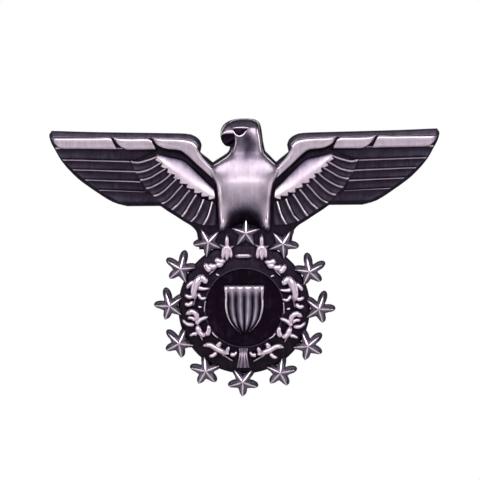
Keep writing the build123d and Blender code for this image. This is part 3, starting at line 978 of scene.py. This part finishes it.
# Strokes that make up the left branch's oak leaves: points of the path about the wreath's centre
# before it leans, half widths at both ends, height, all mm
OAK_STROKES = (
    (((-5.1, 8.0), (-4.2, 7.6), (-3.2, 7.7)), (0.55, 0.35), 1.55),
    (((-4.9, 7.3), (-4.2, 7.0), (-3.9, 7.6)), (0.4, 0.5), 1.4),
    (((-6.6, 7.3), (-6.2, 6.4), (-5.6, 6.1)), (0.5, 0.5), 1.5),
    (((-6.2, 6.9), (-5.4, 6.7), (-4.6, 6.9)), (0.6, 0.4), 1.55),
    (((-4.4, 6.9), (-5.2, 6.1), (-6.0, 5.3)), (0.13, 0.11), 1.2),
    (((-4.9, 5.5), (-4.2, 5.2)), (0.2, 0.14), 0.9),
    (((-7.2, 5.3), (-8.0, 3.9), (-8.4, 2.6), (-8.4, 1.3)), (0.75, 0.42), 1.7),
    (((-7.5, 4.9), (-6.8, 4.6), (-6.2, 3.9)), (0.7, 0.42), 1.6),
    (((-8.2, 4.2), (-9.2, 3.6), (-9.5, 2.9)), (0.5, 0.24), 1.4),
    (((-7.9, 3.2), (-6.8, 3.0), (-5.7, 3.1)), (0.45, 0.16), 1.35),
    (((-8.5, 1.7), (-9.2, 1.6), (-9.9, 2.0)), (0.38, 0.3), 1.4),
    (((-7.8, 2.3), (-7.1, 1.4), (-6.2, 1.6)), (0.4, 0.22), 1.4),
    (((-8.4, 0.9), (-9.2, 0.3), (-9.9, 0.6)), (0.4, 0.32), 1.4),
    (((-7.9, 2.0), (-8.2, 1.1), (-8.4, 0.1)), (0.12, 0.12), 1.75),
    (((-7.7, 0.0), (-7.0, -0.1)), (0.22, 0.16), 0.9),
    (((-6.5, 1.0), (-6.6, 0.0), (-6.6, -0.9)), (0.09, 0.09), 0.7),
    (((-9.6, -1.3), (-8.7, -0.8), (-7.9, -1.3), (-7.8, -2.4)), (0.45, 0.42), 1.55),
    (((-9.4, -1.9), (-8.6, -1.9), (-8.0, -2.4)), (0.3, 0.3), 1.3),
    (((-10.2, -2.1), (-9.4, -2.9), (-8.2, -3.0)), (0.2, 0.42), 1.5),
    (((-8.0, -2.9), (-7.2, -2.1), (-5.9, -1.6)), (0.45, 0.3), 1.55),
    (((-7.7, -3.0), (-7.3, -4.2), (-6.3, -4.9)), (0.5, 0.42), 1.6),
    (((-5.9, -2.9), (-5.8, -3.9), (-6.2, -4.8)), (0.3, 0.5), 1.5),
    (((-9.0, -4.9), (-8.3, -4.5), (-7.6, -4.5)), (0.24, 0.4), 1.4),
    (((-7.5, -4.2), (-7.1, -5.0), (-6.7, -5.6)), (0.12, 0.1), 1.2),
    (((-5.3, -4.1), (-4.8, -4.7), (-4.2, -5.1)), (0.13, 0.1), 0.8),
    (((-6.7, -6.4), (-5.5, -6.3), (-4.2, -7.0), (-2.4, -7.7)), (0.4, 0.5), 1.65),
    (((-4.3, -6.9), (-4.1, -6.2), (-3.7, -5.7)), (0.5, 0.3), 1.45),
    (((-2.9, -7.6), (-2.6, -7.0), (-2.4, -6.4)), (0.42, 0.24), 1.35),
    (((-2.2, -7.7), (-1.5, -7.8), (-1.1, -7.2)), (0.42, 0.22), 1.3),
    (((-4.4, -7.4), (-5.0, -8.0), (-5.7, -8.1)), (0.4, 0.28), 1.35),
    (((-3.7, -7.7), (-2.8, -8.2), (-1.6, -8.9)), (0.13, 0.13), 1.3),
)


class BADGE_OT_wreath(bpy.types.Operator):
    """Lays the oak leaves of both branches and ties them with a ribbon."""

    bl_idname = "badge.wreath"
    bl_label = "Wreath"

    def execute(self, context):
        leaves = [
            limb(f"stroke_{k}", path, [LEAF_SWELL * width for width in widths], height, 1.0, 0.5)
            for k, (path, widths, height) in enumerate(OAK_STROKES)
        ]
        branch = joined(leaves, "oak_branch")
        place = wreath_place()
        for side, flip in (("left", Matrix.Identity(4)), ("right", MIRROR)):
            finished(copied(branch, f"{side}_oak_branch", place @ flip), antique_silver(), f"{side}_branch")
        bpy.data.objects.remove(branch)
        rows = []
        for radius, half, height in (
            (6.75, 0.85, 0.8), (7.4, 0.75, 1.25), (8.2, 0.8, 1.45), (9.1, 1.0, 1.2), (9.95, 1.2, 0.7),
        ):
            row = []
            for s, h, p in (
                (-1, 0.2, 0), (-0.85, 1, 1), (-0.55, 0.86, 0.6), (-0.3, 1, 1), (0, 0.86, 0.55), (0.3, 1, 1),
                (0.55, 0.86, 0.6), (0.85, 1, 1), (1, 0.2, 0),
            ):
                x, z = at_wreath(radius, 270)
                row.append((x + s * half, z, height * h, p * (1 if radius < 8.5 else 0.7)))
            rows.append(row)
        finished(lay_relief("ribbon", rows, across=2), antique_silver(), "ribbon_tie")
        return {"FINISHED"}


# ---------------------------------------------------------------- field and shield


class BADGE_OT_shield(bpy.types.Operator):
    """Turns the dark round field and sets a plain fluted shield on it."""

    bl_idname = "badge.shield"
    bl_label = "Field and shield"

    def execute(self, context):
        low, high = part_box("field_disc")
        radius = (high[0] - low[0]) / 2
        deselect()
        bpy.ops.mesh.primitive_circle_add(
            vertices=96, radius=radius, fill_type="NGON", rotation=(math.radians(90), 0, 0),
            location=(WREATH_X * MM, high[1], WREATH_Z * MM),
        )
        field = bpy.context.object
        bpy.ops.object.transform_apply(location=True, rotation=True, scale=True)
        bpy.ops.object.mode_set(mode="EDIT")
        bpy.ops.mesh.select_all(action="SELECT")
        bpy.ops.mesh.extrude_region_move(TRANSFORM_OT_translate={"value": (0, low[1] - high[1], 0)})
        bpy.ops.mesh.inset(thickness=0.12 * MM)
        bpy.ops.mesh.inset(thickness=0.22 * MM)
        bpy.ops.transform.translate(value=(0, 0.25 * MM, 0))
        bpy.ops.mesh.inset(thickness=2.0 * MM)
        bpy.ops.transform.translate(value=(0, 0.08 * MM, 0))
        outward()
        polished(field, 0.3, low[1] + 0.05 * MM, 0.0)
        field.name = "field"
        finished(field, antique_silver(), "field_disc", slot="gunmetal")

        x0, z0 = at_wreath(0, 0)
        half, top, foot = 3.3, 3.85, -4.35
        flank = (
            (0.0, 1.0, top), (0.12, 1.0, top - 0.5), (0.3, 1.0, 1.8), (0.5, 1.0, 0.0), (0.68, 0.86, -1.9),
            (0.84, 0.55, -3.3), (0.95, 0.22, -4.1), (1.0, 0.05, foot),
        )
        flutes = (
            (1, 0.45, 0.1), (0.95, 0.95, 0.95), (0.86, 1.0, 1.0), (0.8, 0.62, 0.15), (0.6, 0.9, 0.8),
            (0.42, 0.6, 0.1), (0.2, 0.95, 0.85),
        )
        section = [(-s, h, p) for s, h, p in flutes] + [(0, 0.6, 0.12), *reversed(flutes)]
        rows = []
        for share, wide, z in flank:
            edge = share in (0.0, 1.0)
            row = []
            for s, h, p in section:
                border = share == 0.12
                height = 1.1 * (0.45 if edge else 1.0 if border else h)
                shine_and_shade = 0.8 if border else 0.2 if edge else 0.85 * p
                row.append((x0 + s * half * wide, z0 + z, height, shine_and_shade))
            rows.append(row)
        finished(lay_relief("fluted_shield", rows, across=2, along=3), antique_silver(), "shield")
        return {"FINISHED"}


# ---------------------------------------------------------------- posts and clutches


class BADGE_OT_fastenings(bpy.types.Operator):
    """Gives the posts and the butterfly clutches their metal and eases their edges."""

    bl_idname = "badge.fastenings"
    bl_label = "Posts and clutches"

    def execute(self, context):
        brass = plain_metal("stamped brass", finish_settings().brass, 0.27, brush=0.4, depth=0.1)
        steel = plain_metal("nickel steel", finish_settings().steel, 0.24, brush=0.8, depth=0.08)
        for side in ("left", "right"):
            for name, metal in (
                (f"{side}_post", steel),
                (f"{side}_clutch_cup", brass),
                (f"{side}_clutch_spring", brass),
                (f"{side}_upper_clutch_wing", brass),
                (f"{side}_lower_clutch_wing", brass),
            ):
                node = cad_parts[name]
                node.data.materials.clear()
                node.data.materials.append(metal)
                weld = node.modifiers.new("weld", "WELD")
                weld.merge_threshold = 0.000002
                ease = node.modifiers.new("ease", "BEVEL")
                ease.width = 0.07 * MM
                ease.segments = 2
                ease.limit_method = "ANGLE"
                ease.angle_limit = math.radians(35)
        return {"FINISHED"}


# ---------------------------------------------------------------- stage


class BADGE_OT_stage(bpy.types.Operator):
    """Sets the pale floor, the soft lights and the camera straight before the badge."""

    bl_idname = "badge.stage"
    bl_label = "Stage"

    def execute(self, context):
        scene = context.scene
        deselect()
        bpy.ops.mesh.primitive_plane_add(size=1, location=(0, -0.2, -0.06))
        bpy.ops.transform.resize(value=(1, 0.6, 1), center_override=(0, -0.2, 0))
        bpy.ops.object.transform_apply(location=True, rotation=True, scale=True)
        floor = bpy.context.object
        floor.name = "floor"
        pale = bpy.data.materials.new("pale floor")
        pale.use_nodes = True
        surface = pale.node_tree.nodes["Principled BSDF"]
        surface.inputs["Base Color"].default_value = (0.9, 0.9, 0.9, 1)
        surface.inputs["Roughness"].default_value = 0.8
        floor.data.materials.append(pale)
        scene.view_settings.view_transform = "Standard"
        world = bpy.data.worlds.new("studio")
        world.use_nodes = True
        scene.world = world
        tree = world.node_tree
        sky = tree.nodes["Background"]
        view = add_node(tree, "ShaderNodeLightPath")
        pick = add_node(tree, "ShaderNodeMix", data_type="RGBA")
        pick.inputs[6].default_value = (0.10, 0.10, 0.11, 1)
        pick.inputs[7].default_value = (1, 1, 1, 1)
        tree.links.new(view.outputs["Is Camera Ray"], pick.inputs["Factor"])
        tree.links.new(pick.outputs[2], sky.inputs["Color"])
        aim = Vector((-0.00083, 0, -0.01247))
        for name, place, size, watts in (
            ("front softbox", (0.0, -0.42, 0.20), (0.50, 0.26), 1.45),
            ("top softbox", (0.0, -0.12, 0.50), (0.60, 0.30), 0.35),
            ("low card", (0.0, -0.50, -0.10), (0.40, 0.10), 0.25),
            ("left strip", (-0.40, -0.15, 0.05), (0.10, 0.30), 0.35),
            ("right strip", (0.40, -0.15, 0.05), (0.10, 0.30), 0.35),
            ("rear softbox", (0.0, 0.45, 0.18), (0.5, 0.3), 1.2),
        ):
            lamp = bpy.data.lights.new(name, "AREA")
            lamp.shape = "RECTANGLE"
            lamp.size, lamp.size_y = size
            lamp.energy = watts
            holder = bpy.data.objects.new(name, lamp)
            holder.location = place
            holder.rotation_euler = (aim - Vector(place)).to_track_quat("-Z", "Y").to_euler()
            scene.collection.objects.link(holder)
        distance, view_width = 0.6, 0.0798
        eye = bpy.data.cameras.new("camera")
        eye.sensor_width = 36
        eye.lens = eye.sensor_width * distance / view_width
        eye.clip_start = 0.01
        camera = bpy.data.objects.new("camera", eye)
        camera.location = (aim.x, -distance, aim.z)
        upright = Matrix.Rotation(math.radians(90), 4, "X")
        camera.rotation_euler = (upright @ Matrix.Rotation(math.radians(-0.37), 4, "Z")).to_euler()
        scene.collection.objects.link(camera)
        scene.camera = camera
        return {"FINISHED"}


# ---------------------------------------------------------------- panel and registration

STEPS = (
    "back_plate", "rim", "feathers", "coverts", "arms", "body", "head", "stars", "wreath", "shield",
    "fastenings", "stage",
)


class BADGE_PT_panel(bpy.types.Panel):
    """Lists the steps that build the badge."""

    bl_idname = "BADGE_PT_panel"
    bl_label = "Cap badge"
    bl_space_type = "VIEW_3D"
    bl_region_type = "UI"
    bl_category = "Badge"

    def draw(self, context):
        for settings in (context.scene.badge_relief, context.scene.badge_finish):
            for name in settings.bl_rna.properties.keys():
                if name not in ("rna_type", "name"):
                    self.layout.prop(settings, name)
        for step in STEPS:
            self.layout.operator(f"badge.{step}")


CLASSES = (
    BADGE_PG_relief,
    BADGE_PG_finish,
    BADGE_OT_back_plate,
    BADGE_OT_rim,
    BADGE_OT_feathers,
    BADGE_OT_coverts,
    BADGE_OT_arms,
    BADGE_OT_body,
    BADGE_OT_head,
    BADGE_OT_stars,
    BADGE_OT_wreath,
    BADGE_OT_shield,
    BADGE_OT_fastenings,
    BADGE_OT_stage,
    BADGE_PT_panel,
)


def register():
    for kind in CLASSES:
        bpy.utils.register_class(kind)
    bpy.types.Scene.badge_relief = bpy.props.PointerProperty(type=BADGE_PG_relief)
    bpy.types.Scene.badge_finish = bpy.props.PointerProperty(type=BADGE_PG_finish)


def unregister():
    del bpy.types.Scene.badge_finish
    del bpy.types.Scene.badge_relief
    for kind in reversed(CLASSES):
        bpy.utils.unregister_class(kind)


def main():
    register()
    for step in STEPS:
        getattr(bpy.ops.badge, step)()


if __name__ == "__main__":
    main()
